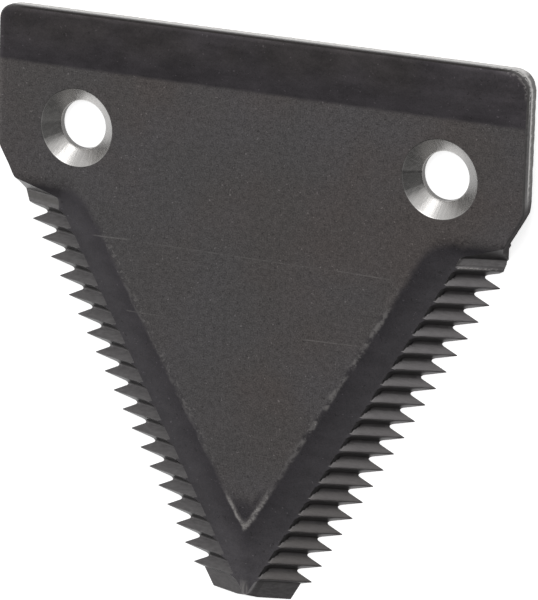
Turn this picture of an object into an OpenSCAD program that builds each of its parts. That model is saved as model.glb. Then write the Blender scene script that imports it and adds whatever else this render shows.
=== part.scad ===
// Mower sickle section: one stamped steel plate with a serrated bevel on each blade edge.
// Millimetres. The origin lies midway between the two holes, on the flat underside.
// X runs along the base edge, Y from the tip towards the base edge, Z up to the bevelled face.

/* [Plate] */
// Width across the two parallel sides
plate_width = 76.2; // [75:0.1:77.5]
// Thickness of the steel
plate_thickness = 3.0; // [2.8:0.1:3.3]
// From the line of the holes to the base edge
base_reach = 15.5; // [14.5:0.1:17]
// From the line of the holes to the blunt tip
tip_reach = 61.4; // [61:0.1:63.4]
// Radius of the two base corners in plan
corner_radius = 2.2; // [1.6:0.1:3]
// From the line of the holes to the turn from side to shoulder
shoulder_drop = 3.4; // [2.5:0.1:4.5]
// Radius of the turn from side to shoulder in plan
shoulder_radius = 4.0; // [2:0.5:6]

/* [Cut edges] */
// Rounding that blanking leaves along the upper edge
edge_roll = 0.45; // [0.2:0.05:0.6]
// Distance the torn lower part of a wall leans in at the underside
tear_lean = 0.2; // [0.1:0.05:0.5]
// Height of the torn lower part of a wall
tear_height = 1.5; // [1:0.1:1.8]

/* [Holes] */
// Distance between the two hole centres
hole_spacing = 52.5; // [51:0.1:54]
// Diameter of each hole at the underside
hole_diameter = 6.6; // [6.2:0.1:7.2]
// Diameter of each countersink at the upper face
sink_diameter = 10.65; // [10.2:0.05:11]
// Full angle of the countersink
sink_angle = 90; // [84:1:96]

/* [Blade] */
// Angle between each blade edge and the centre line
edge_angle = 29.75; // [29.5:0.05:30.2]
// Half the distance between the first two whole tooth tips
first_tip_half = 33.98; // [33.6:0.02:34.4]
// From the line of the holes to the first whole tooth tips
first_tip_drop = 14.16; // [13.9:0.02:14.6]
// Distance from tooth to tooth along the edge
tooth_pitch = 2.835; // [2.7:0.005:3]
// From the first whole tooth tip back to the foot of the bevel, past the blunt lead tooth
lead_length = 4.05; // [3.7:0.05:4.4]
// Distance the blunt end of the lead tooth sits back from a whole tip, along the base line
lead_trim = 0.9; // [0.7:0.05:1.2]
// From the foot of the bevel back to the end of the shoulder
neck_length = 1.85; // [1.5:0.05:2.2]
// Slope of the tooth crests and grooves, falling outwards
bevel_slope = 19.5; // [18:0.5:21]
// Angle in plan between the base line and the side of a tooth towards the tip
tip_side_angle = 14.4; // [13.5:0.1:16]
// Angle in plan between the base line and the side of a tooth towards the base
base_side_angle = 25.5; // [24:0.1:27]
// Width of the worn flat on a tooth tip
tooth_flat = 0.17; // [0.1:0.01:0.25]
// Radius in the bottom of a groove
groove_radius = 0.65; // [0.5:0.05:0.75]
// Distance across the serrations from tooth tip to inner end, along the base line
serration_reach = 6.5; // [6.2:0.1:6.8]
// Slope of the wall that ends each groove
groove_end_slope = 62; // [50:1:75]
// Distance the smooth land at the tip sits back from the line of teeth, along the base line
land_back = 1.25; // [0.9:0.05:1.5]
// Length left for the smooth land at the tip
land_length = 2.6; // [2.4:0.1:3]

/* [Smooth faces] */
// From the line of the holes to the point of the flat field
field_point = 51.75; // [50:0.05:53]
// Angle between each side of the flat field and the centre line
field_angle = 30.6; // [30:0.1:31.2]
// Slope of the smooth band between the flat field and the serrations
band_slope = 8.2; // [6:0.1:9]
// From the line of the holes to the upper end of the smooth bands
band_drop = 7.6; // [7:0.1:8.2]
// Slope of the run-out at the upper end of the smooth bands
band_end_slope = 18; // [15:1:25]
// From the line of the holes to the relief along the base
relief_start = 8.1; // [6.5:0.1:10]
// Depth of that relief at the base edge
relief_depth = 0.2; // [0.1:0.05:0.3]
// Height of the worn chamfer on the end of the tip
tip_wear = 0.9; // [0.5:0.1:1.2]

/* [Hidden] */
$fn = 64;
slack = plate_thickness / 3;
far = plate_width + plate_thickness;
steel = [0.30, 0.29, 0.28];
half_width = plate_width / 2;
inset = corner_radius;
strip = 2 * plate_thickness;
edge_tan = tan(edge_angle);

// Tooth spacing across and along the plate, and how many whole teeth fit on an edge
step_x = tooth_pitch * sin(edge_angle);
step_y = tooth_pitch * cos(edge_angle);
last_tooth = floor((tip_reach - first_tip_drop - land_length) / step_y);

// Base corners, and the shoulders: a flank parallel to the blade edge, down to where the bevel begins
corner_centre = [half_width - corner_radius, base_reach - corner_radius];
bevel_foot = first_tip_drop - lead_length;
neck_drop = bevel_foot - neck_length;
neck_half = flank_x(-neck_drop) - tear_lean / cos(edge_angle);
blunt_half = first_tip_half + step_x - lead_trim;
shoulder_turn = shoulder_radius * tan(edge_angle / 2);
shoulder_centre = [half_width - shoulder_radius, -shoulder_drop + shoulder_turn];
shoulder_start = shoulder_centre + shoulder_radius * [cos(edge_angle), -sin(edge_angle)];
shoulder_length = (shoulder_start[0] - neck_half) / sin(edge_angle);
shoulder_foot = [neck_half, flank_y(neck_half)];
function flank_x(y) = half_width + (y + shoulder_drop) * edge_tan;
function flank_y(x) = (x - half_width) / edge_tan - shoulder_drop;
function tip_line_x(y) = first_tip_half + (y + first_tip_drop) * edge_tan;

// Groove section, measured square to the crests: run of each side and the rounded bottom
rise = sin(bevel_slope);
half_flat = tooth_flat / 2;
tip_side = 1 / tan(tip_side_angle);
base_side = 1 / tan(base_side_angle);
m1 = tip_side * rise;
m2 = base_side * rise;
q1 = sqrt(1 + m1 * m1);
q2 = sqrt(1 + m2 * m2);
level_gap = -step_x * rise - (step_y - half_flat) * m2 - half_flat * m1;
groove_w = (level_gap + groove_radius * (q2 - q1)) / (m1 + m2);
groove_n = (groove_w + half_flat) * m1 + groove_radius * q1;
groove_from = atan2(-1, m1);
groove_to = atan2(-1, -m2);
groove_steps = 5;

// Where the last tooth runs into the smooth land
land_w = -(land_back + half_flat * tip_side) / (tip_side - edge_tan);
land_u = (land_w + half_flat) * tip_side;

function tooth_at(k, w, u) = [-first_tip_drop - k * step_y + w, (first_tip_half - k * step_x + u) * rise];
function groove_at(k, i) =
    let (a = groove_from + (groove_to - groove_from) * i / groove_steps)
    tooth_at(k, 0, 0) + [groove_w, groove_n] + groove_radius * [cos(a), sin(a)];
function land_at(y) = [-y, (tip_line_x(-y) - land_back) * rise];

// Outline of the serrated bevel as the grooves see it, from the shoulder down to the tip
bevel_level = tooth_at(-1, 0, 0)[1];
bevel_top = (half_width + far) * rise;
bevel_outline = concat(
    [[-bevel_foot + (bevel_top - bevel_level) / m1, bevel_top]],
    [[-bevel_foot, bevel_level]],
    [tooth_at(-1, -half_flat, 0)],
    [for (i = [0 : groove_steps]) groove_at(-1, i)],
    [for (k = [0 : last_tooth - 1]) each concat(
        [tooth_at(k, half_flat, 0), tooth_at(k, -half_flat, 0)],
        [for (i = [0 : groove_steps]) groove_at(k, i)]
    )],
    [tooth_at(last_tooth, half_flat, 0), tooth_at(last_tooth, -half_flat, 0)],
    [tooth_at(last_tooth, land_w, land_u)],
    [land_at(tip_reach + strip)],
    [[-tip_reach - strip, bevel_top]]
);

// Half of the blank inside its rounded walls; the bevel trims the blade part to its teeth
function mirrored(p) = [for (i = [len(p) - 1 : -1 : 0]) [-p[i][0], p[i][1]]];
flank_inset = inset / cos(edge_angle);
half_blank = [
    [half_width - inset, base_reach - inset],
    [half_width - inset, flank_y(half_width - inset + flank_inset)],
    shoulder_foot + inset * [sin(edge_angle) - cos(edge_angle), sin(edge_angle) + cos(edge_angle)],
    shoulder_foot,
    [neck_half, -bevel_foot],
    [blunt_half, -first_tip_drop + step_y],
    [blunt_half, -first_tip_drop],
    [tip_line_x(-tip_reach) + slack, -tip_reach]
];

// Section of a blanked wall: leaning tear, straight burnished part, rounded upper edge
module wall_section(depth) {
    polygon(concat(
        [[0, 0], [depth - tear_lean, 0], [depth, tear_height], [depth, plate_thickness - edge_roll]],
        [for (a = [15 : 15 : 90])
            [depth - edge_roll * (1 - cos(a)), plate_thickness - edge_roll * (1 - sin(a))]],
        [[0, plate_thickness]]
    ));
}

// A straight wall that starts at a point, faces a direction and runs to its right
module wall_run(start, facing, length) {
    translate([start[0], start[1], 0])
        rotate([90, 0, facing])
        translate([-strip, 0, 0])
        linear_extrude(length)
        wall_section(strip);
}

// A rounded corner of the blank, with the straight wall that follows it
module wall_turn(centre, radius, facing, length) {
    translate([centre[0], centre[1], 0])
        rotate([0, 0, facing]) {
            rotate_extrude()
                wall_section(radius);
            wall_run([radius, 0], 0, length);
        }
}

module right_walls() {
    wall_turn(corner_centre, corner_radius, 0, corner_centre[1] - shoulder_centre[1]);
    wall_turn(shoulder_centre, shoulder_radius, -edge_angle, shoulder_length);
}

module blank() {
    linear_extrude(plate_thickness)
        polygon(concat(half_blank, mirrored(half_blank)));
    right_walls();
    mirror([1, 0, 0])
        right_walls();
    wall_run(
        [-half_width + corner_radius, base_reach],
        90,
        plate_width - 2 * corner_radius
    );
}

// Everything above the serrated bevel on the right, as far in as the wall that ends the grooves
module right_bevel_cut() {
    intersection() {
        rotate([0, bevel_slope, 0])
            rotate([90, 0, 90])
            translate([0, 0, -far])
            linear_extrude(2 * far)
            polygon(bevel_outline);
        translate([first_tip_half - serration_reach, -first_tip_drop, serration_reach * tan(bevel_slope)])
            rotate([90, 0, -edge_angle])
            translate([0, 0, -far / 2])
            linear_extrude(2 * far)
            polygon([
                [far, -far],
                [far, far],
                [-far / tan(groove_end_slope), far],
                [far / tan(groove_end_slope), -far]
            ]);
    }
}

// Everything above the smooth band on the right, fading out towards the holes
module right_band_cut() {
    intersection() {
        translate([0, -field_point, plate_thickness])
            rotate([90, 0, -field_angle])
            translate([0, 0, -far])
            linear_extrude(2 * far)
            polygon([
                [-slack, slack * tan(band_slope)],
                [far, -far * tan(band_slope)],
                [far, far],
                [-slack, far]
            ]);
        translate([0, -band_drop, plate_thickness])
            rotate([90, 0, 90])
            translate([0, 0, -far])
            linear_extrude(2 * far)
            polygon([
                [slack, slack * tan(band_end_slope)],
                [-far, -far * tan(band_end_slope)],
                [-far, far],
                [slack, far]
            ]);
    }
}

// Shallow relief that falls away to the base edge
module base_relief_cut() {
    relief_run = base_reach - relief_start;
    translate([0, relief_start, plate_thickness])
        rotate([90, 0, 90])
        translate([0, 0, -far])
        linear_extrude(2 * far)
        polygon([
            [-relief_run, relief_depth],
            [2 * relief_run, -2 * relief_depth],
            [2 * relief_run, far],
            [-relief_run, far]
        ]);
}

// Worn chamfer across the end of the tip
module tip_wear_cut() {
    tip_height = plate_thickness - (tip_reach - field_point) * sin(field_angle) * tan(band_slope);
    translate([0, -tip_reach, tip_height - tip_wear])
        rotate([90, 0, 90])
        translate([0, 0, -far])
        linear_extrude(2 * far)
        polygon([[-slack, -2 * slack], [slack, 2 * slack], [-slack, 2 * slack]]);
}

// Hole for a countersunk rivet or bolt
module sunk_hole() {
    flare = tan(sink_angle / 2);
    land = plate_thickness - (sink_diameter - hole_diameter) / 2 / flare;
    translate([0, 0, -slack])
        cylinder(h = plate_thickness + 2 * slack, d = hole_diameter);
    translate([0, 0, land])
        cylinder(
            h = plate_thickness + slack - land,
            d1 = hole_diameter,
            d2 = sink_diameter + 2 * slack * flare
        );
}

module knife_section() {
    color(steel)
        difference() {
            blank();
            right_bevel_cut();
            mirror([1, 0, 0])
                right_bevel_cut();
            right_band_cut();
            mirror([1, 0, 0])
                right_band_cut();
            base_relief_cut();
            tip_wear_cut();
            for (side = [-1, 1])
                translate([side * hole_spacing / 2, 0, 0])
                    sunk_hole();
        }
}

knife_section();
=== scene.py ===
import math
import bmesh
import bpy
import numpy as np
from mathutils import Euler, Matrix, Vector, geometry, noise


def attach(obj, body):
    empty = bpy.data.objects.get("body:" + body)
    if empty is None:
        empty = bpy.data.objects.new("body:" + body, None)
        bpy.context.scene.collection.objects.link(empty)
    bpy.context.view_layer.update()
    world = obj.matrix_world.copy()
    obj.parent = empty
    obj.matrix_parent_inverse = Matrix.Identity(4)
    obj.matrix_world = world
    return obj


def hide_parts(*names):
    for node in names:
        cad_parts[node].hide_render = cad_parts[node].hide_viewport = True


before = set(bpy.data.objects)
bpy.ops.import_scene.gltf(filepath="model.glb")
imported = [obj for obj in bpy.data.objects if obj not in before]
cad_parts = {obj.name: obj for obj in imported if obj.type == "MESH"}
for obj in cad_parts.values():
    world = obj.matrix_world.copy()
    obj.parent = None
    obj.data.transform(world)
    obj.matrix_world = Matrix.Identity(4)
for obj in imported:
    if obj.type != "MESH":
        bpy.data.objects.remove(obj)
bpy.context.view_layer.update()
scene = bpy.context.scene
mm = 0.001
sides = (1, -1)     # right-hand edge, then left-hand edge, with the base at the top

# sizes of the plate in millimetres
plate = {
    "halfWidth": 38.1,
    "thickness": 3.0,
    "baseReach": 15.5,          # from the holes to the base edge
    "tipReach": 61.4,           # from the holes to the tip
    "cornerLeft": 2.0,
    "cornerRight": 2.9,
    "shoulderDrop": 3.4,
    "shoulderRadius": 4.0,
    "roll": 0.25,               # rounding that blanking leaves along the upper edge
    "rollTail": 1.6,            # length over which it dies out at the teeth
    "tearLean": 0.2,            # the torn lower wall leans in by this much
    "tearHeight": 1.5,
    "tearRough": 0.06,
    "reliefStart": 8.1,         # the face falls away towards the base edge from here
    "reliefDepth": 0.2,
}

# sizes of the serrations in millimetres and degrees
teeth = {
    "edgeAngle": 29.75,
    "firstHalf": 33.98,         # first full tooth's tip, from the centre line
    "firstDrop": 14.16,         # the same tip, from the holes
    "pitch": 2.835,
    "count": 19,
    "slope": 19.5,
    "tipSide": 14.4,            # lean of a groove's two sides
    "baseSide": 25.5,
    "flat": 0.17,
    "crestRadius": 0.12,
    "rootRadius": 0.5,
    "reach": 7.2,
    "endSlope": 62.0,
    "hookBend": 0.25,           # crests bend towards the tip at their inner ends
    "hookLength": 1.7,
    "leadLength": 4.05,
    "leadTrim": 0.9,
    "leadRecess": 0.6,          # the right lead tooth's top lies this far back from its crest
    "neckLength": 1.85,
    "landBack": 1.25,
}

# sizes of the pressed band beside the serrations, in millimetres and degrees
band = {
    "point": 51.75,
    "angle": 30.6,
    "depth": 0.71,
    "top": 7.6,
    "runOut": 18.0,
    "wear": 0.8,                # rubbed off the nose
    "wearSlope": 2.0,
    "noseFall": 8.2,
    "crown": 0.45,              # rounding of the V at its apex
}


def tanOf(degrees):
    return math.tan(math.radians(degrees))


thick = plate["thickness"]
edgeTan = tanOf(teeth["edgeAngle"])
edgeCos = math.cos(math.radians(teeth["edgeAngle"]))
edgeSin = math.sin(math.radians(teeth["edgeAngle"]))
slopeTan = tanOf(teeth["slope"])
rise = math.sin(math.radians(teeth["slope"]))
stepX = teeth["pitch"] * edgeSin
stepY = teeth["pitch"] * edgeCos
vCos = math.cos(math.radians(band["angle"]))
vSin = math.sin(math.radians(band["angle"]))
leadFoot = teeth["leadLength"] - teeth["firstDrop"]     # y where the lead tooth's facet ends
wallRise = edgeCos * tanOf(teeth["endSlope"])


def softMax(a, b, width):
    h = np.clip(0.5 + 0.5 * (a - b) / width, 0, 1)
    return b * (1 - h) + a * h + width * h * (1 - h)


def softPlus(a, width):
    return 0.5 * (a + np.sqrt(a * a + width * width)) - 0.5 * width * np.exp(-np.abs(a) / width)


def tipLineX(y):    # line through the tooth tips, right-hand side
    return teeth["firstHalf"] + (y + teeth["firstDrop"]) * edgeTan


def innerX(y):      # line where the serrations end
    return teeth["firstHalf"] - teeth["reach"] + (y + teeth["firstDrop"]) * edgeTan


def flankX(y):      # shoulder line above the serrations
    return plate["halfWidth"] + (y + plate["shoulderDrop"]) * edgeTan


# height of the upper face away from the serrations
def faceHeight(x, y):
    x, y = np.abs(x), np.asarray(y, float)
    fromV = np.hypot(x, band["crown"]) * vCos - (y + band["point"]) * vSin
    toInner = (innerX(y) - x) * edgeCos
    past = softPlus(fromV, 0.3)
    share = np.where(toInner <= 0, 1.0, past / np.maximum(past + np.maximum(toInner, 0), 1e-6))
    pressed = thick - band["depth"] * np.clip(share, 0, 1)
    out = thick - softPlus(-band["top"] - y, 0.5) * tanOf(band["runOut"])
    z = np.where(out < pressed - 0.2, pressed, softMax(pressed, out, 0.15))
    run = plate["baseReach"] - plate["reliefStart"]
    z = z - plate["reliefDepth"] * softPlus(y - plate["reliefStart"], 0.5) / run
    nose = thick - (plate["tipReach"] - band["point"]) * vSin * tanOf(band["noseFall"])
    worn = nose - band["wear"] + band["wearSlope"] * (y + plate["tipReach"])
    return np.minimum(np.minimum(z, thick), worn)


def arcPoints(corner, first, second, radius, steps):
    a, b = (np.array(way, float) / np.linalg.norm(way) for way in (first, second))
    half = math.acos(float(a @ b)) / 2
    centre = corner + (a + b) / np.linalg.norm(a + b) * radius / math.sin(half)
    p, q = (corner + way * radius / math.tan(half) - centre for way in (a, b))
    turn = math.atan2(p[0] * q[1] - p[1] * q[0], float(p @ q))
    rows = []
    for i in range(steps + 1):
        c, s = math.cos(turn * i / steps), math.sin(turn * i / steps)
        rows.append(centre + [p[0] * c - p[1] * s, p[0] * s + p[1] * c])
    return np.array(rows)


# one groove from crest to crest: offsets down the edge and outwards, and two marks that place its painted
# shade and highlights
def grooveSection():
    half = teeth["flat"] / 2
    steepRise = rise / tanOf(teeth["tipSide"])
    broadRise = rise / tanOf(teeth["baseSide"])
    both = steepRise + broadRise
    crest = np.array([half * (broadRise - steepRise) / both, 0.0])
    crest[1] = (crest[0] + half) * steepRise
    step = np.array([stepY, stepX * rise])
    after = crest - step
    w = (after[1] + after[0] * broadRise - crest[1] + crest[0] * steepRise) / both
    root = np.array([w, crest[1] + (w - crest[0]) * steepRise])
    top = arcPoints(crest, (1, -broadRise), (-1, -steepRise), teeth["crestRadius"], 6)
    low = arcPoints(root, crest - root, after - root, teeth["rootRadius"], 8)
    nextTop = top - step
    steep = [(top[-1] + low[0]) / 2]
    broad = [low[-1] + (nextTop[0] - low[-1]) * share for share in (0.25, 0.5, 0.75)]
    rows = np.vstack([top[3:], steep, low, broad, nextTop[:4]])
    lift = (rows[:, 1] - low[:, 1].min()) / (top[3, 1] - low[:, 1].min())
    narrow = np.zeros(len(rows))
    narrow[:7] = (0.3, 0.8, 1, 1, 1, 1, 0.5)        # the narrow side, just past the crest
    return rows[:, 0], rows[:, 1] / rise, np.clip(lift, 0, 1), narrow


# shares of the way from the knife edge to the upper face
columns = np.array([0, 0.14, 0.28, 0.42, 0.54, 0.64, 0.72, 0.79, 0.85, 0.9, 0.95, 1.0])
colCount = len(columns)


# rows of points from the knife edge, up a groove and its end wall, to the upper face
def sweepRows(y, xs, xOut):
    y, xs, xOut = (np.asarray(v, float) for v in (y, xs, xOut))

    def bevel(x, soft=None):
        start, line = (xs, innerX(y)) if x.ndim == 1 else (xs[:, None], innerX(y)[:, None])
        ruled = (start - x) * slopeTan
        wall = teeth["reach"] * slopeTan + (line - x) * wallRise
        return np.maximum(ruled, wall) if soft is None else softMax(ruled, wall, soft)

    far, near = xOut - 12.0, xOut.copy()
    for _ in range(50):
        mid = (far + near) / 2
        above = bevel(mid) > faceHeight(mid, y)
        far, near = np.where(above, mid, far), np.where(above, near, mid)
    top = np.minimum(near, xOut)
    x = xOut[:, None] + (top - xOut)[:, None] * columns
    z = bevel(x, 0.16)
    z[:, 0] = np.maximum((xs - xOut) * slopeTan, 0)
    limit = faceHeight(x, np.repeat(y[:, None], colCount, 1))
    z = np.minimum(z, limit)
    z[:, -1] = limit[:, -1]
    shut = (xOut - top) < 1e-6
    z[shut] = limit[shut]
    hook = np.clip(1 - (x - innerX(y)[:, None]) / teeth["hookLength"], 0, 1) ** 2 * teeth["hookBend"]
    hook *= np.clip((y + plate["tipReach"]) / 2.8, 0, 1)[:, None] * np.clip((-9.0 - y) / 2.0, 0, 1)[:, None]
    return np.stack([x, y[:, None] - hook, z], 2)


def rowFaces(rowCount, width):
    faces = []
    for i in range(rowCount - 1):
        for j in range(width - 1):
            a = i * width + j
            faces.append((a, a + 1, a + width + 1, a + width))
    return faces


def ringFaces(count, width):
    faces = []
    for i in range(count):
        k = (i + 1) % count
        for j in range(width - 1):
            faces.append((i * width + j, i * width + j + 1, k * width + j + 1, k * width + j))
    return faces


print("stage: sections ready")


# repeated teeth, by Geometry Nodes
def toothTree():
    tree = bpy.data.node_groups.new("toothRow", "GeometryNodeTree")
    inputs = {"Geometry": "Geometry", "Groove count": "Int", "Step": "Vector", "Weld distance": "Float",
              "Finish": "Material"}
    for label, kind in inputs.items():
        tree.interface.new_socket(label, in_out="INPUT", socket_type="NodeSocket" + kind)
    tree.interface.new_socket("Geometry", in_out="OUTPUT", socket_type="NodeSocketGeometry")
    start, end = tree.nodes.new("NodeGroupInput"), tree.nodes.new("NodeGroupOutput")
    kinds = ("MeshLine", "InstanceOnPoints", "RealizeInstances", "MergeByDistance", "SetMaterial")
    line, onPoints, realize, weld, finish = (tree.nodes.new("GeometryNode" + kind) for kind in kinds)
    line.mode = "OFFSET"
    for source, output, target, socket in (
        (start, "Groove count", line, "Count"),
        (start, "Step", line, "Offset"),
        (line, "Mesh", onPoints, "Points"),
        (start, "Geometry", onPoints, "Instance"),
        (onPoints, "Instances", realize, "Geometry"),
        (realize, "Geometry", weld, "Geometry"),
        (start, "Weld distance", weld, "Distance"),
        (weld, "Geometry", finish, "Geometry"),
        (start, "Finish", finish, "Material"),
        (finish, "Geometry", end, "Geometry"),
    ):
        tree.links.new(source.outputs[output], target.inputs[socket])
    return tree


def setInput(modifier, name, value):
    for item in modifier.node_group.interface.items_tree:
        if item.item_type == "SOCKET" and item.in_out == "INPUT" and item.name == name:
            modifier[item.identifier] = value


def addMarks(mesh, marks):
    for key, values in marks.items():
        mesh.attributes.new(key, "FLOAT", "POINT").data.foreach_set("value", values)


def repeatGroove(verts, faces, marks, side, tree, finish):
    mesh = bpy.data.meshes.new("toothGroove")
    mesh.from_pydata([tuple(v * mm) for v in verts], [], faces)
    addMarks(mesh, marks)
    piece = bpy.data.objects.new("toothGroove", mesh)
    scene.collection.objects.link(piece)
    repeat = piece.modifiers.new("teeth", "NODES")
    repeat.node_group = tree
    setInput(repeat, "Groove count", teeth["count"] - 1)
    setInput(repeat, "Step", (-side * stepX * mm, -stepY * mm, 0.0))
    setInput(repeat, "Weld distance", 1e-6)
    setInput(repeat, "Finish", finish)
    made = bpy.data.meshes.new_from_object(piece.evaluated_get(bpy.context.evaluated_depsgraph_get()))
    points = np.zeros(len(made.vertices) * 3)
    made.vertices.foreach_get("co", points)
    kept = {key: np.zeros(len(made.vertices)) for key in marks}
    for key in marks:
        made.attributes[key].data.foreach_get("value", kept[key])
    polys = [tuple(p.vertices) for p in made.polygons]
    bpy.data.objects.remove(piece)
    bpy.data.meshes.remove(mesh)
    bpy.data.meshes.remove(made)
    return points.reshape(-1, 3) / mm, polys, kept


finishes = {name: bpy.data.materials.new(name)
            for name in ("plateFace", "groundBevel", "shearedWall", "turnedSink")}
finishOrder = list(finishes)
plainMarks = {"lift": 0.5, "narrow": 0.0}
body = {"verts": [], "faces": [], "mats": [], "count": 0, "marks": {key: [] for key in plainMarks}}


def addPatch(verts, faces, finish, marks=None):
    base = body["count"]
    body["verts"].append(np.asarray(verts, float))
    body["faces"] += [tuple(base + i for i in f) for f in faces]
    body["mats"] += [finishOrder.index(finish)] * len(faces)
    for key, usual in plainMarks.items():
        body["marks"][key].append(np.full(len(verts), usual) if marks is None else marks[key])
    body["count"] += len(verts)


# rows of one side, given for the right and mirrored for the left
wRow, uRow, liftRow, narrowRow = grooveSection()
neckHalf = flankX(leadFoot + teeth["neckLength"]) - plate["tearLean"] / edgeCos
bluntHalf = teeth["firstHalf"] + stepX - teeth["leadTrim"]
grooveX = teeth["firstHalf"] + stepX + uRow
grooveY = stepY - teeth["firstDrop"] + wRow
leadX, leadY = grooveX[0], grooveY[0]


def facetX(y):
    return leadX + (y - leadFoot) / tanOf(teeth["tipSide"])


def cornerY():      # where the lead tooth's facet leaves the flank
    low, high = leadFoot, -6.0
    for _ in range(60):
        mid = (low + high) / 2
        above = (facetX(mid) - flankX(mid)) * slopeTan > float(faceHeight(flankX(mid), mid))
        low, high = (low, mid) if above else (mid, high)
    return low


facetTop = cornerY()


def outerX(y):
    neckY = (neckHalf - plate["halfWidth"]) / edgeTan - plate["shoulderDrop"]
    x = np.where(y > neckY, flankX(y), neckHalf)
    share = np.clip((leadFoot - y) / (teeth["firstDrop"] - stepY + leadFoot), 0, 1)
    return np.where(y < leadFoot, neckHalf + (bluntHalf - neckHalf) * share, x)


leadRows = np.concatenate([
    np.linspace(facetTop, leadFoot + 0.12, 16),
    leadFoot + np.array([0.05, 0, -0.1, -0.25, -0.7]),
    leadY + np.array([0.56, 0.46, 0.28, 0.1, 0.04, 0]),
])


def leadTooth(side):    # the right-hand one is hollowed behind its crest
    depth = teeth["leadRecess"] if side > 0 else 0.0
    recess = depth * np.clip((leadRows - leadY - 0.1) / 0.36, 0, 1)
    facet = facetX(leadRows)
    xs = np.where(leadRows > leadFoot, facet, leadX - recess)
    xs = np.maximum(xs, np.where(leadRows > leadFoot - 0.3, facet, 0))
    lift = np.full(len(leadRows), 0.85)
    if side > 0:
        lift = np.where(leadRows < leadY + 0.4, 1.0, 0.045)
    y = np.concatenate([leadRows[:-1], grooveY])
    xs = np.concatenate([xs[:-1], grooveX])
    return sweepRows(y, xs, np.minimum(xs, outerX(y))), np.concatenate([lift[:-1], liftRow])


unitX = teeth["firstHalf"] + uRow
unitGrid = sweepRows(wRow - teeth["firstDrop"], unitX, unitX)

# land between the last tooth and the tip
crestY = -teeth["firstDrop"] - (teeth["count"] - 1) * stepY + wRow[:4]
crestX = teeth["firstHalf"] - (teeth["count"] - 1) * stepX + uRow[:4]
steepRun = (uRow[4] - uRow[3]) / (wRow[4] - wRow[3])
landStart = (crestX[3] - steepRun * crestY[3] - tipLineX(0) + teeth["landBack"]) / (edgeTan - steepRun)
tipY = -plate["tipReach"]
landY = np.concatenate([np.linspace(landStart, tipY + 0.6, 7), np.linspace(tipY + 0.45, tipY, 4)])
landX = np.concatenate([crestX, tipLineX(landY) - teeth["landBack"]])
landLift = np.concatenate([liftRow[:4], np.full(len(landY), 0.6)])
landGrid = sweepRows(np.concatenate([crestY, landY]), landX, landX)


def acrossRow(values):
    return np.repeat(values[:, None], colCount, 1)


tree = toothTree()
inner, outer = {}, {}
for side in sides:
    flip = np.array([side, 1, 1])
    turn = -side        # keeps the faces outward on both sides
    leadGrid, leadLift = leadTooth(side)
    leadNarrow, landNarrow = np.zeros(len(leadGrid)), np.zeros(len(landGrid))
    leadNarrow[-len(narrowRow):] = narrowRow
    landNarrow[:4] = narrowRow[:4]
    landMark = acrossRow(landLift)
    if side > 0:        # the wall behind this land is in its own shade
        landMark[:, 7:-1] = 0.03
    for grid, lift, narrow in ((leadGrid, acrossRow(leadLift), leadNarrow), (landGrid, landMark, landNarrow)):
        faces = [f[::turn] for f in rowFaces(len(grid), colCount)]
        marks = {"lift": lift.ravel(), "narrow": acrossRow(narrow).ravel()}
        addPatch(grid.reshape(-1, 3) * flip, faces, "groundBevel", marks)
    faces = [f[::turn] for f in rowFaces(len(unitGrid), colCount)]
    marks = {"lift": acrossRow(liftRow).ravel(), "narrow": acrossRow(narrowRow).ravel()}
    points, polys, kept = repeatGroove(unitGrid.reshape(-1, 3) * flip, faces, marks, side, tree,
                                       finishes["groundBevel"])
    addPatch(points, polys, "groundBevel", kept)
    shifts = [np.array([-k * stepX, -k * stepY, 0]) for k in range(teeth["count"] - 1)]
    runs = [leadGrid] + [unitGrid + shift for shift in shifts] + [landGrid]
    inner[side] = np.vstack([grid[:, -1] for grid in runs]) * flip
    outer[side] = np.vstack([grid[:, 0] for grid in runs]) * flip
print("stage: serrations,", body["count"], "points")


# blanked walls, from the upper edge down to the underside
def straightRun(x, y, outward):
    points = np.stack(np.broadcast_arrays(x, y), 1)
    return points, np.tile(outward, (len(points), 1))


def turnRun(centre, radius, start, end, steps):
    angles = np.radians(np.linspace(start, end, steps))
    outward = np.stack([np.cos(angles), np.sin(angles)], 1)
    return np.asarray(centre) + outward * radius, outward


def blankRun(side):     # from the middle of the base edge round to the lead tooth
    half, reach, bend = plate["halfWidth"], plate["baseReach"], plate["shoulderRadius"]
    corner = plate["cornerRight"] if side > 0 else plate["cornerLeft"]
    centre = (half - bend, -plate["shoulderDrop"] + bend * tanOf(teeth["edgeAngle"] / 2))
    shoulder = turnRun(centre, bend, 0, -teeth["edgeAngle"], 8)
    startY = shoulder[0][-1][1]
    flankY = np.linspace(startY, facetTop, 14)[1:]
    runs = (
        straightRun(np.linspace(0, half - corner, 90)[:-1], reach, (0.0, 1.0)),
        turnRun((half - corner, reach - corner), corner, 90, 0, 12),
        straightRun(half, np.linspace(reach - corner, centre[1], 42)[1:-1], (1.0, 0.0)),
        shoulder,
        straightRun(flankX(flankY), flankY, (edgeCos, -edgeSin)),
    )
    points, outward = (np.vstack(part) for part in zip(*runs))
    tail = np.clip((points[:, 1] - facetTop) / plate["rollTail"], 0, 1)
    onFlank = (points[:, 0] > half - bend) & (points[:, 1] < startY)
    roll = np.where(onFlank, plate["roll"] * tail, plate["roll"])
    flip = np.array([side, 1])
    return points * flip, outward * flip, roll


def tornNoise(x, y, z):
    return noise.noise((x * 1.3, y * 1.3, z * 2.2)) + 0.6 * noise.noise((x * 4, y * 4, z * 5))


rollTurns = np.radians(np.linspace(90, 0, 7))
wallShares = (0.82, 0.66, 0.55, 0.44, 0.33, 0.22, 0.11, 0.0)


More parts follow.
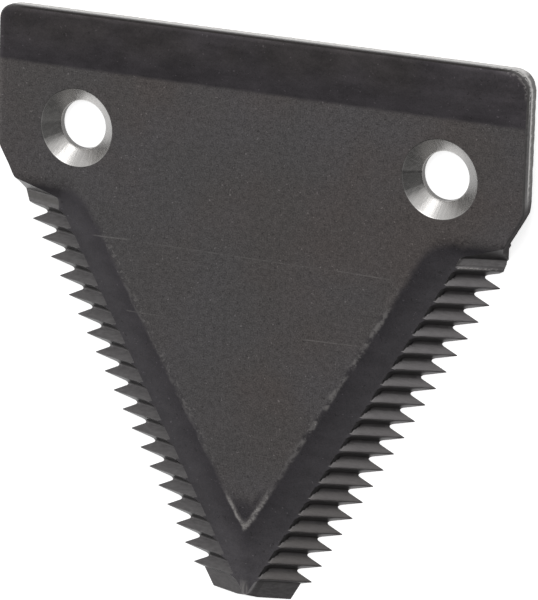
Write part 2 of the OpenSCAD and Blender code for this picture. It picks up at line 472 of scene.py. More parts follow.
def wallRing(points, outward, roll, top):
    rings = []

    def addRing(off, z):
        rings.append(np.column_stack([points - outward * off[:, None], z]))

    for angle in rollTurns:
        addRing(roll * (1 - np.cos(angle)), top - roll * (1 - np.sin(angle)))
    for share in wallShares:
        z = (top - roll) * share
        lean = plate["tearLean"] * np.clip(1 - z / plate["tearHeight"], 0, 1) * (top > 0.4)
        rough = np.array([tornNoise(p[0], p[1], h) for p, h in zip(points, z)])
        torn = np.clip((plate["tearHeight"] - z) / 0.6, 0, 1) * (top > 1.5)
        addRing(np.maximum(lean + np.clip(rough, -0.3, 1) * plate["tearRough"] * torn, 0), z)
    return np.stack(rings, 1)


def withTop(points, outward, roll):
    inset = points - outward * roll[:, None]
    return points, outward, roll, faceHeight(inset[:, 0], inset[:, 1])


rightRun = withTop(*blankRun(1))
leftRun = [part[::-1][:-1] for part in withTop(*blankRun(-1))]
front = landGrid[-1][1:]
ridgeX = np.linspace(front[-1][0], -front[-1][0], 9)[1:-1]
ridgeY = np.full(len(ridgeX), tipY)
ridge = np.stack([ridgeX, ridgeY, faceHeight(ridgeX, ridgeY)], 1)
mirrorX = np.array([-1, 1, 1])
bladePoints = np.vstack([outer[1][1:], front, ridge, (front * mirrorX)[::-1], outer[-1][::-1][:-1]])
bladeCount, rightCount = len(bladePoints), len(rightRun[0])
bladeRun = (bladePoints[:, :2], np.zeros((bladeCount, 2)), np.zeros(bladeCount), bladePoints[:, 2])
rings = wallRing(*(np.concatenate(part) for part in zip(rightRun, bladeRun, leftRun)))
wallFaces = [(a, d, c, b) for a, b, c, d in ringFaces(*rings.shape[:2])]
addPatch(rings.reshape(-1, 3), wallFaces, "shearedWall")
print("stage: walls,", len(rings), "columns")

# countersunk holes, sizes in millimetres
holes = {"spacing": 52.5, "bore": 3.3, "sink": 5.325, "land": 0.975, "segments": 112}
holeCentres = [side * holes["spacing"] / 2 for side in sides]


def sinkProfile():
    rim, bore, land = holes["sink"], holes["bore"], holes["land"]
    slope = (rim - bore) / (thick - land)
    pts = [(rim + 0.03, thick), (rim + 0.012, thick - 0.012)]
    pts += [(rim - slope * drop, thick - drop) for drop in (0.05, 0.12)]
    pts += [(bore + (rim - bore) * f, land + (thick - land) * f) for f in np.linspace(0.86, 0.04, 9)]
    pts += [(bore + 0.015, land), (bore, land - 0.06), (bore, 0.5), (bore, 0.09), (bore + 0.07, 0.0)]
    return np.array(pts)


profile = sinkProfile()
around = np.linspace(0, 2 * math.pi, holes["segments"], endpoint=False)
for centre in holeCentres:
    grid = np.zeros((len(around), len(profile), 3))
    grid[..., 0] = centre + np.cos(around)[:, None] * profile[:, 0]
    grid[..., 1] = np.sin(around)[:, None] * profile[:, 0]
    grid[..., 2] = profile[:, 1]
    addPatch(grid.reshape(-1, 3), ringFaces(*grid.shape[:2]), "turnedSink")
print("stage: countersinks")

# flat sheets: upper face and underside, with the spacing of their points in millimetres
sheet = {"wide": 0.85, "fine": 0.34, "under": 2.4, "clear": 0.17, "underClear": 0.5, "tipFrom": -58.5}


def insideLoop(points, loop):
    x, y = points[:, 0], points[:, 1]
    inside = np.zeros(len(points), bool)
    for p, q in zip(loop, np.roll(loop, -1, 0)):
        if p[1] != q[1]:
            crossing = (q[0] - p[0]) * (y - p[1]) / (q[1] - p[1]) + p[0]
            inside ^= ((p[1] > y) != (q[1] > y)) & (x < crossing)
    return inside


def outsideHoles(points, radius):
    away = [np.hypot(points[:, 0] - centre, points[:, 1]) > radius for centre in holeCentres]
    return away[0] & away[1]


def dropRepeats(loop):
    keep = [i for i in range(len(loop)) if np.linalg.norm(loop[i][:2] - loop[i - 1][:2]) > 1e-5]
    return loop[keep]


def gridPoints(step, low, high):
    rows, y, odd = [], low[1] + step / 3, 0
    while y < high[1]:
        xs = np.arange(low[0] + step / 3 + odd * step / 2, high[0] - step / 4, step)
        rows.append(np.stack([xs, np.full(len(xs), y)], 1))
        y, odd = y + step * 0.866, 1 - odd
    return np.vstack(rows)


def fillSheet(loop, ringRadius, extra, clear, height, upward):
    loop = dropRepeats(loop)
    circle = np.stack([np.cos(around), np.sin(around)], 1) * ringRadius
    circles = [circle + [centre, 0] for centre in holeCentres]
    edge = np.vstack([loop[:, :2]] + circles)
    extra = extra[insideLoop(extra, loop[:, :2]) & outsideHoles(extra, ringRadius + clear)]
    apart = np.ones(len(extra), bool)
    for p in edge:
        apart &= np.hypot(extra[:, 0] - p[0], extra[:, 1] - p[1]) > clear
    edges, at = [], 0
    for size in (len(loop), len(around), len(around)):
        edges += [(at + i, at + (i + 1) % size) for i in range(size)]
        at += size
    points = [Vector(p) for p in np.vstack([edge, extra[apart]])]
    out = geometry.delaunay_2d_cdt(points, edges, [], 0, 1e-7)
    flat = np.array([(v[0], v[1]) for v in out[0]])
    tri = np.array(out[2])
    mid = flat[tri].mean(1)
    a, b, c = (flat[tri[:, i]] for i in range(3))
    area = np.abs((b - a)[:, 0] * (c - a)[:, 1] - (b - a)[:, 1] * (c - a)[:, 0])
    tri = tri[insideLoop(mid, loop[:, :2]) & outsideHoles(mid, ringRadius * 0.999) & (area > 1e-6)]
    z = height(flat[:, 0], flat[:, 1])
    for i, source in enumerate(out[3]):
        for k in source:
            if k < len(loop):
                z[i] = loop[k][2]
            elif k < len(edge):
                z[i] = thick if upward else 0.0
    if not upward:
        tri = tri[:, ::-1]
    addPatch(np.column_stack([flat, z]), [tuple(f) for f in tri], "plateFace")
    return len(tri)


topRing = rings[:, 0]
topLoop = np.vstack([
    topRing[:rightCount - 1],
    inner[1],
    ridge,
    inner[-1][::-1],
    topRing[rightCount + bladeCount + 1:],
])
corners = topLoop[:, :2].min(0), topLoop[:, :2].max(0)


def fromLine(points):
    return np.abs(np.abs(points[:, 0]) * vCos - (points[:, 1] + band["point"]) * vSin)


# points are closer along the V line and at the tip
wide, fine = gridPoints(sheet["wide"], *corners), gridPoints(sheet["fine"], *corners)
wide = wide[((fromLine(wide) > 1.1) | (wide[:, 1] > -8.5)) & (wide[:, 1] > sheet["tipFrom"] + 0.3)]
fine = fine[((fromLine(fine) < 1.0) & (fine[:, 1] < -9)) | (fine[:, 1] < sheet["tipFrom"])]
filled = fillSheet(topLoop, profile[0][0], np.vstack([wide, fine]), sheet["clear"], faceHeight, True)
print("stage: upper face,", filled, "triangles")
underPoints = gridPoints(sheet["under"], *corners)
filled = fillSheet(rings[:, -1], profile[-1][0], underPoints, sheet["underClear"],
                   lambda x, y: np.zeros(len(x)), False)
print("stage: underside,", filled, "triangles")


# one closed mesh
def closeBody():
    mesh = bpy.data.meshes.new("knifeSection")
    mesh.from_pydata([tuple(v) for v in np.vstack(body["verts"]) * mm], [], body["faces"])
    mesh.polygons.foreach_set("material_index", body["mats"])
    addMarks(mesh, {key: np.concatenate(parts) for key, parts in body["marks"].items()})
    for material in finishes.values():
        mesh.materials.append(material)
    bm = bmesh.new()
    bm.from_mesh(mesh)
    bmesh.ops.remove_doubles(bm, verts=bm.verts, dist=2e-6)
    bmesh.ops.dissolve_degenerate(bm, edges=bm.edges, dist=1e-7)
    bmesh.ops.delete(bm, geom=[e for e in bm.edges if not e.link_faces], context="EDGES")
    bmesh.ops.recalc_face_normals(bm, faces=bm.faces)
    for f in bm.faces:
        f.smooth = True
    openEdges = sum(len(e.link_faces) != 2 for e in bm.edges)
    print("stage: closed mesh,", len(bm.faces), "faces,", openEdges, "open edges")
    bm.to_mesh(mesh)
    bm.free()
    mesh.set_sharp_from_angle(angle=math.radians(27))
    piece = bpy.data.objects.new("knifeSection", mesh)
    scene.collection.objects.link(piece)
    return piece


knife = closeBody()
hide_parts("knife_section")
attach(knife, "root")


# shader values that add, subtract, multiply and divide like numbers
class shaderValue:
    def __init__(self, socket):
        self.socket = socket
        self.tree = socket.id_data

    def math(self, kind, *others):
        return mathNode(self.tree, kind, self, *others)

    def __add__(self, other):
        return self.math("ADD", other)

    def __radd__(self, other):
        return mathNode(self.tree, "ADD", other, self)

    def __sub__(self, other):
        return self.math("SUBTRACT", other)

    def __rsub__(self, other):
        return mathNode(self.tree, "SUBTRACT", other, self)

    def __mul__(self, other):
        return self.math("MULTIPLY", other)

    def __truediv__(self, other):
        return self.math("DIVIDE", other)

    def __abs__(self):
        return self.math("ABSOLUTE")


def put(socket, value):
    if isinstance(value, shaderValue):
        value.tree.links.new(value.socket, socket)
    else:
        socket.default_value = value


def addNode(tree, kind, inputs=(), **settings):
    node = tree.nodes.new("ShaderNode" + kind)
    for name, value in settings.items():
        setattr(node, name, value)
    for key, value in dict(inputs).items():
        put(node.inputs[key], value)
    return node


def nodeValue(tree, kind, inputs=(), output=0, **settings):
    return shaderValue(addNode(tree, kind, inputs, **settings).outputs[output])


def mathNode(tree, kind, *values):
    return nodeValue(tree, "Math", enumerate(values), operation=kind)


def larger(a, b):
    return a.math("MAXIMUM", b)


def lengthOf(a, b):
    return (a * a + b * b).math("SQRT")


def vectorNode(kind, a, *others):
    second = "Scale" if kind == "SCALE" else 1
    output = "Value" if kind in ("DOT_PRODUCT", "LENGTH") else "Vector"
    return nodeValue(a.tree, "VectorMath", zip((0, second), (a, *others)), output, operation=kind)


def fade(value, low, high, toLow=0.0, toHigh=1.0):
    names = ("Value", "From Min", "From Max", "To Min", "To Max")
    inputs = zip(names, (value, low, high, toLow, toHigh))
    return nodeValue(value.tree, "MapRange", inputs, "Result", interpolation_type="SMOOTHSTEP")


def fall(value, low, high):
    return fade(value, low, high, 1.0, 0.0)


def mixColor(amount, a, b, kind="MIX"):
    tree = next(item.tree for item in (amount, a, b) if isinstance(item, shaderValue))
    inputs = {0: amount, 6: a, 7: b}
    return nodeValue(tree, "Mix", inputs, 2, data_type="RGBA", blend_type=kind, clamp_factor=True)


def tint(color, tone):
    return mixColor(1.0, color, tone, "MULTIPLY")


def speckle(place, scale, detail, rough, stretch=None):
    if stretch is not None:
        place = vectorNode("MULTIPLY", place, stretch)
    inputs = {"Vector": place, "Scale": scale, "Detail": detail, "Roughness": rough}
    return nodeValue(place.tree, "TexNoise", inputs, "Fac")


def split(vector):
    return [shaderValue(socket) for socket in addNode(vector.tree, "SeparateXYZ", {0: vector}).outputs]


def newGroup(name, inputs, outputs):
    tree = bpy.data.node_groups.new(name, "ShaderNodeTree")
    for label, kind in inputs.items():
        tree.interface.new_socket(label, in_out="INPUT", socket_type="NodeSocket" + kind)
    for label in outputs:
        tree.interface.new_socket(label, in_out="OUTPUT", socket_type="NodeSocketFloat")
    start = tree.nodes.new("NodeGroupInput")
    into = [shaderValue(start.outputs[label]) for label in inputs]
    return tree, into, tree.nodes.new("NodeGroupOutput").inputs


def useGroup(group, place, values):
    node = addNode(place.tree, "Group", {"Place": place, **values}, node_tree=group)
    return {socket.name: shaderValue(socket) for socket in node.outputs}


# grain and slow heat stain of rolled steel, with a few pits and specks
def grainGroup():
    tree, into, out = newGroup("steelGrain", {"Place": "Vector", "Fine": "Float", "Stain size": "Float"},
                               ("Grain", "Stain", "Tint", "Pits", "Specks"))
    place, fineness, stainSize = into

    def elsewhere(*offset):
        return vectorNode("ADD", place, offset)

    coarse = speckle(place, fineness * 0.35, 2.0, 0.5)
    put(out["Grain"], speckle(place, fineness, 3.0, 0.65) * 0.75 + coarse * 0.25)
    put(out["Stain"], fade(speckle(place, stainSize, 3.0, 0.55), 0.35, 0.68))
    put(out["Tint"], fade(speckle(elsewhere(31.0, 7.0, 3.0), stainSize * 1.7, 2.0, 0.5), 0.4, 0.66))
    put(out["Pits"], fade(speckle(elsewhere(5.0, 11.0, 2.0), 1.6, 1.0, 0.4), 0.71, 0.75))
    put(out["Specks"], fade(speckle(elsewhere(17.0, 3.0, 9.0), 2.4, 1.0, 0.4), 0.73, 0.77))
    return tree


# one scratch: a thin broken line between two points
def scratchGroup():
    inputs = {"Place": "Vector", "From": "Vector", "To": "Vector", "Width": "Float"}
    tree, into, out = newGroup("scratchMark", inputs, ("Mask",))
    place, start, end, width = into
    along = vectorNode("SUBTRACT", end, start)
    here = vectorNode("SUBTRACT", vectorNode("MULTIPLY", place, (1.0, 1.0, 0.0)), start)
    share = vectorNode("DOT_PRODUCT", here, along) / vectorNode("DOT_PRODUCT", along, along)
    share = larger(share, 0.0).math("MINIMUM", 1.0)
    off = vectorNode("LENGTH", vectorNode("SUBTRACT", here, vectorNode("SCALE", along, share)))
    broken = fade(speckle(place, 0.8, 2.0, 0.6), 0.3, 0.6, 0.35, 1.0)
    ends = fade(share, 0.0, 0.12) * fall(share, 0.8, 1.0)
    put(out["Mask"], fall(off / width, 0.2, 1.0) * broken * ends)
    return tree


# places in millimetres where zones of the plate begin and end
zoneSpans = {
    "upper": (1.4, 1.6),
    "centre": (-1.0, 1.0),
    "bandTop": -8.6,
    "baseStrip": (7.75, 8.4),
    "baseEdge": (8.6, 13.4),
    "apex": (-48.2, -45.4),
    "apexShade": (-49.4, -46.6),
    "armTop": (-20.0, -16.0),
    "armFoot": (-46.0, -36.0),
    "fleckTop": (-16.0, -13.0),
    "fleckFoot": (-47.0, -40.0),
    "nose": (-59.9, -58.6),
    "noseHalf": (0.35, 0.8),
}


# where the pressed bands, the base strip and the burnished arms of the V lie
def zoneGroup():
    tree, into, out = newGroup("plateZones", {"Place": "Vector"},
                               ("Band", "Base", "Arms", "Apex", "Upper", "Edge", "Deep", "Nose"))
    place = into[0]
    x, y, z = split(place)
    upper = fade(z, *zoneSpans["upper"])
    put(out["Upper"], upper)
    waver = speckle(place, 0.5, 2.0, 0.5) - 0.5
    fromV = (x * x + band["crown"] ** 2).math("SQRT") * vCos - (y + band["point"]) * vSin
    within = (fromV + waver).math("SMOOTH_MIN", zoneSpans["bandTop"] - (y + waver * 1.2), 4.0)
    put(out["Band"], fade(within, -0.7, 0.55))
    put(out["Deep"], fall(within, 0.1, 3.4))
    put(out["Base"], fade(y + waver * 0.35, *zoneSpans["baseStrip"]))
    put(out["Edge"], fade(y, *zoneSpans["baseEdge"]))
    # the V line is rubbed bright at its apex and broken along its arms, most on the right
    shift = fromV + (speckle(place, 0.9, 2.0, 0.6) - 0.5) * 0.7
    ridge = fall(abs(shift - 0.1) / fade(x, 0.0, 2.5, 0.37, 0.54), 0.15, 1.0)
    nearApex = fall(y - x * 0.25, *zoneSpans["apex"])
    mottled = fade(speckle(place, 1.5, 3.0, 0.75), 0.34, 0.64, 0.25, 1.0)
    patches = fade(speckle(place, 0.75, 3.0, 0.75), 0.42, 0.62) * fall(y, *zoneSpans["armTop"])
    patches = patches * fade(x, *zoneSpans["centre"], 0.5, 1.0) * fade(y, *zoneSpans["armFoot"], 0.3, 1.0)
    arms = ridge * larger(nearApex * mottled, patches * fade(x, *zoneSpans["centre"], 0.32, 0.5))
    flecks = fall(abs(shift + 0.3), 0.15, 0.6) * fade(speckle(place, 2.2, 2.0, 0.6), 0.5, 0.64)
    flecks = flecks * fade(x, -2.0, 2.0, 0.26, 0.12)
    flecks = flecks * fade(y, *zoneSpans["fleckFoot"]) * fall(y, *zoneSpans["fleckTop"])
    put(out["Arms"], larger(arms, flecks) * upper)
    # painted shade inside the V near its apex, and a darker line just within the V line there
    inside = fall(fromV, -0.5, -0.2) * fall(y + waver * 2.0, *zoneSpans["apexShade"])
    groove = fade(abs(fromV + 0.75), 0.1, 0.5, 0.7, 0.0) * nearApex
    put(out["Apex"], larger(inside, groove))
    nose = fall(abs(x + 0.15), *zoneSpans["noseHalf"]) * fall(y, *zoneSpans["nose"])
    rubbed = fade(speckle(place, 1.4, 2.0, 0.6, (2.0, 0.4, 1.0)), 0.35, 0.6, 0.3, 1.0)
    put(out["Nose"], nose * upper * rubbed)
    return tree


grain, scratch, zones = grainGroup(), scratchGroup(), zoneGroup()


def emptyTree(owner):
    owner.use_nodes = True
    owner.node_tree.nodes.clear()
    return owner.node_tree


def startMaterial(material):
    tree = emptyTree(material)
    shader = addNode(tree, "BsdfPrincipled")
    addNode(tree, "OutputMaterial", {"Surface": shaderValue(shader.outputs["BSDF"])})
    return shader, vectorNode("SCALE", nodeValue(tree, "TexCoord", output="Object"), 1 / mm)


def endMaterial(shader, look, color, metallic, rough, height):
    bump = {"Strength": look["bump"], "Distance": look["bumpDepth"], "Height": height}
    normal = nodeValue(height.tree, "Bump", bump)
    ends = {"Base Color": color, "Metallic": metallic, "Roughness": rough, "Normal": normal}
    for name, value in ends.items():
        put(shader.inputs[name], value)


def rgb(r, g, b):
    return (r, g, b, 1.0)


# upper face and underside: dark rolled steel
faceLook = {
    "field": rgb(0.105, 0.099, 0.102),
    "band": rgb(0.066, 0.062, 0.067),
    "bandDeep": rgb(0.050, 0.046, 0.051),
    "base": rgb(0.041, 0.037, 0.041),
    "baseEdge": rgb(0.050, 0.045, 0.049),
    "baseBrown": rgb(0.049, 0.044, 0.045),
    "brown": rgb(0.104, 0.087, 0.079),
    "olive": rgb(0.095, 0.091, 0.090),
    "bright": rgb(0.33, 0.315, 0.305),
    "pit": rgb(0.022, 0.020, 0.020),
    "grain": {"Fine": 5.0, "Stain size": 0.055},
    "contrast": 3.0,
    "speck": 1.9,
    "rub": 0.2,             # streaks on the underside
    # painted highlight along the left and base edges
    "edgeHighlight": 1.5,       # the left and base edges are lighter by this much
    "rightLight": 1.22,     # and the right end of the base strip by this
    "tipLight": 1.32,
    "cornerChips": (48.8, 50.8),
    "metallic": 0.8,
    "bump": 0.35,
    "bumpDepth": 0.00006,
    # from, to, width and strength
    "scratches": [
        ((-23.9, -14.4, 0), (-17.5, -14.2, 0), 0.15, 0.3),
        ((-17.5, -14.3, 0), (13.4, -14.3, 0), 0.11, 0.15),
        ((11.5, -14.2, 0), (20.7, -14.3, 0), 0.13, 0.26),
        ((-18.8, -24.1, 0), (-13.0, -24.0, 0), 0.13, 0.24),
        ((7.3, -24.2, 0), (16.3, -23.9, 0), 0.13, 0.26),
        ((-8.4, 5.0, 0), (-3.3, 6.9, 0), 0.12, 0.16),
    ],
}


def scratchMarks(place):
    masks = []
    for start, end, width, strength in faceLook["scratches"]:
        mark = useGroup(scratch, place, {"From": start, "To": end, "Width": width})
        masks.append(mark["Mask"] * strength)
    joined = masks[0]
    for mask in masks[1:]:
        joined = larger(joined, mask)
    return joined


def cornerChips(place, x, y):       # along the rim of the right-hand base corner
    bend = plate["cornerRight"]
    overX = larger(x - (plate["halfWidth"] - bend), 0.0)
    overY = larger(y - (plate["baseReach"] - bend), 0.0)
    rim = fade(lengthOf(overX, overY), bend - 0.75, bend - 0.35) * fade(x + y, *faceLook["cornerChips"])
    return rim * fade(speckle(place, 1.7, 3.0, 0.7), 0.4, 0.6, 0.0, 0.55)


def paintFace(material):
    look = faceLook
    shader, place = startMaterial(material)
    x, y = split(place)[:2]
    zone = useGroup(zones, place, {})
    skin = useGroup(grain, place, look["grain"])
    upper = zone["Upper"]
    patchy = speckle(place, 0.42, 4.0, 0.62, (0.45, 1.0, 1.0))
    color = mixColor(skin["Stain"] * 0.55, look["field"], look["brown"])
    color = mixColor(skin["Tint"] * 0.5, color, look["olive"])
    # painted shade inside the V at its apex
    color = mixColor(zone["Apex"] * upper, color, look["bandDeep"])
    # painted shade: the base strip darkens towards its inner boundary and lightens towards the base edge
    edge = mixColor(fade(skin["Stain"], 0.2, 0.9), look["baseEdge"], look["baseBrown"])
    base = mixColor(zone["Edge"], look["base"], edge)
    base = tint(base, fade(patchy, 0.25, 0.75, 0.72, 1.3))
    base = tint(base, fade(x, 22.0, 36.0, 1.0, look["rightLight"]))
    color = mixColor(zone["Base"] * upper, color, base)
    pressed = mixColor(zone["Deep"], look["band"], look["bandDeep"])
    pressed = tint(pressed, fade(patchy, 0.25, 0.75, 0.86, 1.14))
    pressed = tint(pressed, fade(y, -55.0, -50.0, look["tipLight"], 1.0))
    color = mixColor(zone["Band"] * upper, color, pressed)
    half, reach = plate["halfWidth"], plate["baseReach"]
    # painted highlight: the face is lighter along its left and base edges
    color = tint(color, fade(x, -half, 1.0 - half, look["edgeHighlight"], 1.0))
    color = tint(color, fade(y, reach - 0.9, reach - 0.3, 1.0, look["edgeHighlight"]))
    smooth = larger(zone["Band"], zone["Base"]) * upper
    depth = 1.0 - smooth * 0.6
    color = tint(color, 1.0 + (skin["Grain"] - 0.5) * (depth * look["contrast"]))
    streak = speckle(place, 1.1, 3.0, 0.6, (0.08, 1.0, 1.0))
    rub = (1.0 - upper) * fade(streak, 0.46, 0.68, 0.0, look["rub"])
    color = mixColor(rub, color, look["bright"])
    marks = larger(scratchMarks(place), cornerChips(place, x, y)) * upper
    bright = larger(marks, larger(zone["Arms"], zone["Nose"] * 0.55))
    color = mixColor(bright, color, look["bright"])
    color = tint(color, fade(skin["Specks"], 0.0, 1.0, 1.0, look["speck"]))
    color = mixColor(skin["Pits"] * 0.35, color, look["pit"])
    rough = fade(smooth, 0.0, 1.0, 0.56, 0.42) + (skin["Grain"] - 0.5) * 0.25 - bright * 0.12
    height = skin["Grain"] * depth - skin["Pits"] * 1.2 - marks * 0.8
    endMaterial(shader, look, color, look["metallic"], rough, height)


# serrations and their end facets: ground along the crests
bevelLook = {
    "flank": rgb(0.114, 0.109, 0.110),
    # painted shade: colours of the right-hand flanks, and of them towards the tip
    "paintedShade": rgb(0.074, 0.070, 0.071),
    "worn": rgb(0.050, 0.046, 0.044),
    # painted shade in the groove roots
    "root": rgb(0.046, 0.043, 0.044),
    "rootLeft": rgb(0.075, 0.071, 0.072),
    # painted light on the right-hand end walls, painted light and shade on the lead flat
    "endWall": rgb(0.15, 0.144, 0.146),
    "leadLeft": rgb(0.086, 0.082, 0.080),
    "leadRight": rgb(0.185, 0.177, 0.178),
    # painted highlight along the crests
    "crest": rgb(0.17, 0.164, 0.16),
    "grain": {"Fine": 4.0, "Stain size": 0.09},
    "aboveLand": (-59.3, -58.5),
    "wornRun": (-57.0, -26.0),
    "rootRun": (-58.0, -36.0),
    "metallic": 0.8,
    "bump": 0.25,
    "bumpDepth": 0.00005,
}


def paintBevel(material):
    look = bevelLook
    shader, place = startMaterial(material)
    x, y = split(place)[:2]
    up, narrow = (nodeValue(place.tree, "Attribute", (), "Fac", attribute_name=key) for key in plainMarks)
    skin = useGroup(grain, place, look["grain"])
    drag = speckle(place, 3.2, 3.0, 0.6, (0.12, 1.0, 1.0))
    # painted shade: the right-hand flanks are darker, and darker and browner towards the tip
    right = fade(x, *zoneSpans["centre"])
    paintedShade = right * fade(y, *look["aboveLand"])
    flank = mixColor(paintedShade, look["flank"], look["paintedShade"])
    flank = mixColor(paintedShade * fall(y, *look["wornRun"]) * 0.75, flank, look["worn"])
    # painted shade in the groove roots, darkest on the right-hand side, less so near the tip
    dark = right * fade(y, *look["rootRun"], 0.2, 1.0)
    root = mixColor(dark, look["rootLeft"], look["root"])
    color = mixColor(fade(up, 0.0, 0.06), root, flank)
    # painted highlight along the crests, broken up by the grain and weaker on the right-hand side
    shine = larger(fade(right, 0.0, 1.0, 1.0, 0.35), fade(y, leadY - 0.5, leadY - 0.2))
    crest = fade(up, 0.93, 1.0) * fade(skin["Grain"], 0.4, 0.62, 0.0, shine)
    color = mixColor(crest, color, look["crest"])
    # painted shade on the narrow sides on the left, painted light on them on the right
    color = tint(color, fade(narrow * (1.0 - right), 0.0, 1.0, 1.0, 0.4))
    color = mixColor(narrow * right * 0.7, color, look["endWall"])
    # end walls of the grooves, painted lighter on the right-hand side, and the flat of the lead tooth,
    # painted darker on the left and lighter on the right: painted light and shade
    inward = abs(x) - y.math("MULTIPLY_ADD", edgeTan, innerX(0.0))
    wall = fall(inward, 0.45, 0.85) * (right * fall(up, 0.0, 0.9))
    color = mixColor(wall, color, look["endWall"])
    leadFlat = fade(y, leadY + 0.4, leadY + 0.6) * fall(y, leadFoot - 0.3, leadFoot)
    color = mixColor(leadFlat, color, mixColor(right, look["leadLeft"], look["leadRight"]))
    color = tint(color, 1.0 + (drag - 0.5) + (skin["Grain"] - 0.5) * 0.35)
    endMaterial(shader, look, color, look["metallic"], 0.28 + drag * 0.16, drag)


# blanked walls: a burnished band above a torn one, dark with scale at the top and on the shoulders
wallLook = {
    "roll": rgb(0.052, 0.048, 0.047),
    "rollSide": rgb(0.125, 0.12, 0.119),
    "shoulder": rgb(0.094, 0.089, 0.090),
    "burnish": rgb(0.38, 0.371, 0.362),
    "tear": rgb(0.17, 0.165, 0.161),
    "tearBase": rgb(0.52, 0.51, 0.50),
    "dragged": rgb(0.046, 0.043, 0.043),
    "scale": rgb(0.128, 0.121, 0.122),
    "grain": {"Fine": 3.0, "Stain size": 0.12},
    # heights where the wall changes
    "burnishFrom": (1.45, 1.75),
    "roughTo": (1.2, 1.7),
    "draggedFrom": (1.95, 2.15),
    "rollFrom": (2.55, 2.75),
    # places along the wall
    "bareFrom": (-3.6, -0.5),
    "scaleTo": (-3.4, 1.5),
    "shoulderTo": (-4.0, -1.0),
    "baseFrom": (14.4, 15.3),
    "sideFrom": (34.0, 36.6),
    "cornerChips": (46.5, 50.0),
    "metallic": 0.85,
    "bump": 0.5,
    "bumpDepth": 0.00008,
}


def paintWall(material):
    look = wallLook
    shader, place = startMaterial(material)
    x, y, z = split(place)
    streak = speckle(place, 2.4, 3.0, 0.65, (1.0, 1.0, 0.12))
    wander = streak - 0.5
    skin = useGroup(grain, place, look["grain"])
    level, ragged = z + wander * 0.9, z + wander * 0.4
    tear = mixColor(fade(y, *look["baseFrom"]), look["tear"], look["tearBase"])
    color = mixColor(fade(level, *look["burnishFrom"]), tear, look["burnish"])
    # the face's dark scale is dragged down the wall, and chipped off at the right-hand corner
    bare = fade(y, *look["bareFrom"])
    chips = fade(x + y, *look["cornerChips"]) * fade(speckle(place, 1.7, 3.0, 0.7), 0.4, 0.58)
    dragged = fade(ragged, *look["draggedFrom"]) * (1.0 - chips * 0.8)
    color = mixColor(dragged * bare, color, look["dragged"])
    color = mixColor(fade(y, *look["scaleTo"], 0.95, 0.0), color, look["scale"])
    roll = mixColor(fade(abs(x), *look["sideFrom"]), look["roll"], look["rollSide"])
    roll = mixColor(fall(y, *look["shoulderTo"]), roll, look["shoulder"])
    rolled = fade(ragged, *look["rollFrom"])
    color = mixColor(rolled, color, roll)
    color = tint(color, 1.0 + wander * 0.9)
    rough = fade(level, *look["roughTo"], 0.62, 0.36) + rolled * 0.3
    height = skin["Grain"] * fade(level, *look["roughTo"], 1.0, 0.25) + streak * 0.5
    shader.inputs["Specular IOR Level"].default_value = 0.0     # the scale is matte
    endMaterial(shader, look, color, bare * look["metallic"], rough, height)


# countersinks: bright turned steel
sinkLook = {
    "steel": rgb(0.44, 0.43, 0.42),
    "shade": rgb(0.34, 0.332, 0.325),
    "bore": rgb(0.24, 0.234, 0.23),
    "rim": rgb(0.11, 0.106, 0.105),
    "grain": {"Fine": 2.2, "Stain size": 0.3},
    "boreTo": (0.9, 1.0),
    "rimFrom": (2.95, 2.99),
    "metallic": 1.0,
    "bump": 0.3,
    "bumpDepth": 0.00004,
}


def paintSink(material):
    look = sinkLook
    shader, place = startMaterial(material)
    x, y, z = split(place)
    centre = zoneSpans["centre"]
    skin = useGroup(grain, place, look["grain"])
    fromCentre = x - x.math("SIGN") * (holes["spacing"] / 2)
    radius = lengthOf(fromCentre, y)
    across, along = fromCentre / radius, y / radius
    # the noise follows the way out from the hole's centre, so its marks run down the cone
    ray = nodeValue(place.tree, "CombineXYZ", enumerate((across, along, x * 0.2)))
    turned = speckle(ray, 11.0, 3.0, 0.6)
    color = mixColor(skin["Stain"] * 0.5, look["steel"], look["shade"])
    color = tint(color, 1.0 + (turned - 0.5) * 0.4 + (skin["Grain"] - 0.5) * 0.18)
    # painted light and shade: the cone is lighter on some sides than on others
    tone = fade(across, 0.1, 0.9, 1.0, fade(x, *centre, 0.78, 0.62))
    tone = tone + fade(along, 0.4, 0.95, 0.0, fade(x, *centre, 0.34, 0.2))
    tone = tone + fade(along, -0.95, -0.4, 0.3, 0.0) + fade(across, -0.9, -0.3, 0.16, 0.0)
    # painted shade: a dark streak on the left-hand side of the cone
    paintedShade = fade(along, -0.42, -0.39) * fall(along, -0.06, 0.1) * fall(across, -0.5, -0.2)
    color = tint(color, tone * (1.0 - paintedShade * 0.35))
    # where the cutter stopped in the right-hand hole
    stop = fade(abs(along - 0.05), 0.02, 0.06, 0.4, 0.0) * fall(across, -0.7, -0.5) * fade(x, *centre)
    color = tint(color, 1.0 - stop)
    color = mixColor(fall(z, *look["boreTo"]), color, look["bore"])
    color = mixColor(fade(z, *look["rimFrom"]), color, look["rim"])
    rough = fade(turned, 0.2, 0.8, 0.22, 0.32) + fade(z, *look["boreTo"], 0.35, 0.0)
    height = turned + skin["Grain"] * 0.4
    endMaterial(shader, look, color, look["metallic"], rough, height)


paintFace(finishes["plateFace"])
paintBevel(finishes["groundBevel"])
paintWall(finishes["shearedWall"])
paintSink(finishes["turnedSink"])
print("stage: finishes")

# floor, world and lamps, in metres
studio = {
    "floor": 0.82,
    "floorHalf": 4.0,
    "floorLevel": -0.00004,
    "glow": 0.68,
    "bright": 1.02,
    "shade": 0.11,
    "top": 0.66,
    "lean": (-0.6, 0.8, 0.0),     # the bright half lies towards the base and the left
    "aim": (0, -0.01, 0),
    "key": {"place": (0.02, 0.8, 0.56), "size": 0.55, "power": 1.9},
    "fill": {"place": (-0.8, -0.3, 0.35), "size": 0.5, "power": 0.4},
}


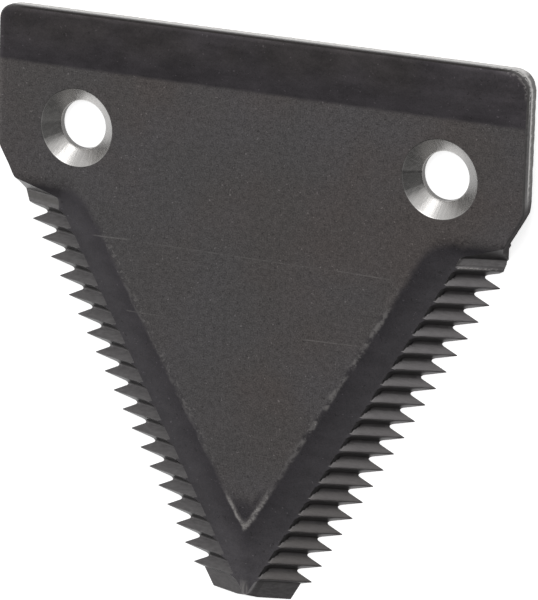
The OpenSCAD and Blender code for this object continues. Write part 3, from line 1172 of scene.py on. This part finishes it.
def makeFloor():
    mesh = bpy.data.meshes.new("floor")
    r, z = studio["floorHalf"], studio["floorLevel"]
    mesh.from_pydata([(-r, -r, z), (r, -r, z), (r, r, z), (-r, r, z)], [], [(0, 1, 2, 3)])
    floor = bpy.data.objects.new("floor", mesh)
    scene.collection.objects.link(floor)
    material = bpy.data.materials.new("floorWhite")
    tree = emptyTree(material)
    matte = nodeValue(tree, "BsdfDiffuse", {"Color": rgb(studio["floor"], studio["floor"], studio["floor"])})
    dark, glow = (nodeValue(tree, "Emission", {"Strength": power}) for power in (0.0, studio["glow"]))
    path = addNode(tree, "LightPath").outputs
    rays = [shaderValue(path["Is " + kind + " Ray"]) for kind in ("Camera", "Glossy", "Transmission")]
    seen = larger(rays[0], larger(rays[1], rays[2]))
    shown = nodeValue(tree, "MixShader", {0: seen, 1: dark, 2: glow})
    lit = nodeValue(tree, "AddShader", {0: matte, 1: shown})
    below = nodeValue(tree, "NewGeometry", output="Backfacing")
    clear = nodeValue(tree, "BsdfTransparent")
    addNode(tree, "OutputMaterial", {"Surface": nodeValue(tree, "MixShader", {0: below, 1: lit, 2: clear})})
    mesh.materials.append(material)


def makeWorld():
    scene.world = bpy.data.worlds.new("studio")
    tree = emptyTree(scene.world)
    way = nodeValue(tree, "TexCoord", output="Generated")
    dim = fade(split(way)[2], 0.2, 0.95, studio["shade"], studio["top"])
    side = fade(vectorNode("DOT_PRODUCT", way, studio["lean"]), -0.08, 0.08)
    level = side * studio["bright"] + (1.0 - side) * dim
    addNode(tree, "OutputWorld", {"Surface": nodeValue(tree, "Background", {"Strength": level})})


def makeLamp(name, look):
    lamp = bpy.data.lights.new(name, "AREA")
    lamp.shape, lamp.size, lamp.energy = "DISK", look["size"], look["power"]
    item = bpy.data.objects.new(name, lamp)
    item.location = look["place"]
    item.rotation_euler = (Vector(studio["aim"]) - Vector(look["place"])).to_track_quat("-Z", "Y").to_euler()
    scene.collection.objects.link(item)


makeFloor()
makeWorld()
makeLamp("keyLamp", studio["key"])
makeLamp("fillLamp", studio["fill"])
print("stage: studio")

# camera, fitted to the photograph: millimetres and degrees
camera = {
    "place": (278.62, 164.38, 599.31),
    "turn": (-14.868, 25.285, 1.814),
    "focal": 311.62,
    "sensor": 36.0,
}
cam = bpy.data.cameras.new("camera")
cam.lens, cam.sensor_width = camera["focal"], camera["sensor"]
cam.clip_start, cam.clip_end = 0.01, 20
eye = bpy.data.objects.new("camera", cam)
eye.location = Vector(camera["place"]) * mm
eye.rotation_euler = Euler([math.radians(a) for a in camera["turn"]], "XYZ")
scene.collection.objects.link(eye)
scene.camera = eye

scene.view_settings.view_transform = "Standard"
